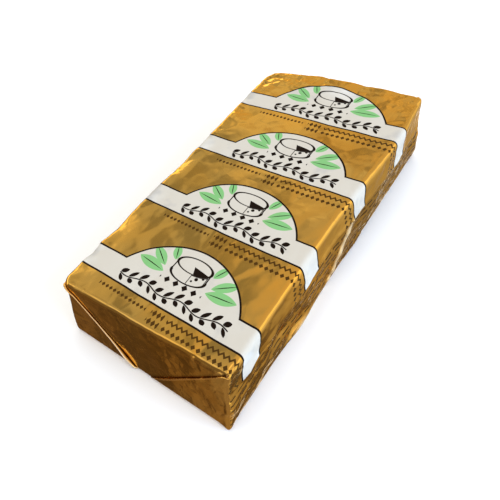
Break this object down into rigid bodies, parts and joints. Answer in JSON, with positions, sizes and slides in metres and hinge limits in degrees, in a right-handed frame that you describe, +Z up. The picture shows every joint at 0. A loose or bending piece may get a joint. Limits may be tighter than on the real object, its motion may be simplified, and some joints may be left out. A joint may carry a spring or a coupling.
{
  "type": "foil-wrapped soft cheese loaf",
  "caption": "Long low rectangular loaf of soft-ripened cheese, sealed in gold foil with white arched label bands and folded ends, lying flat on its base.",
  "frame": {"origin": "middle of the base, under the middle of the loaf", "axes": "+Z up; +Y along the loaf, from the front end to the back end; +X to the right side, which carries the foil's overlap"},
  "size_m": [0.1122, 0.2253, 0.0449],
  "materials": {
    "gold_foil": "thin gold aluminium foil, softly crinkled, printed with white bands"
  },
  "bodies": {
    "root": {"foil_wrapped_loaf": "gold_foil"}
  },
  "joints": []
}
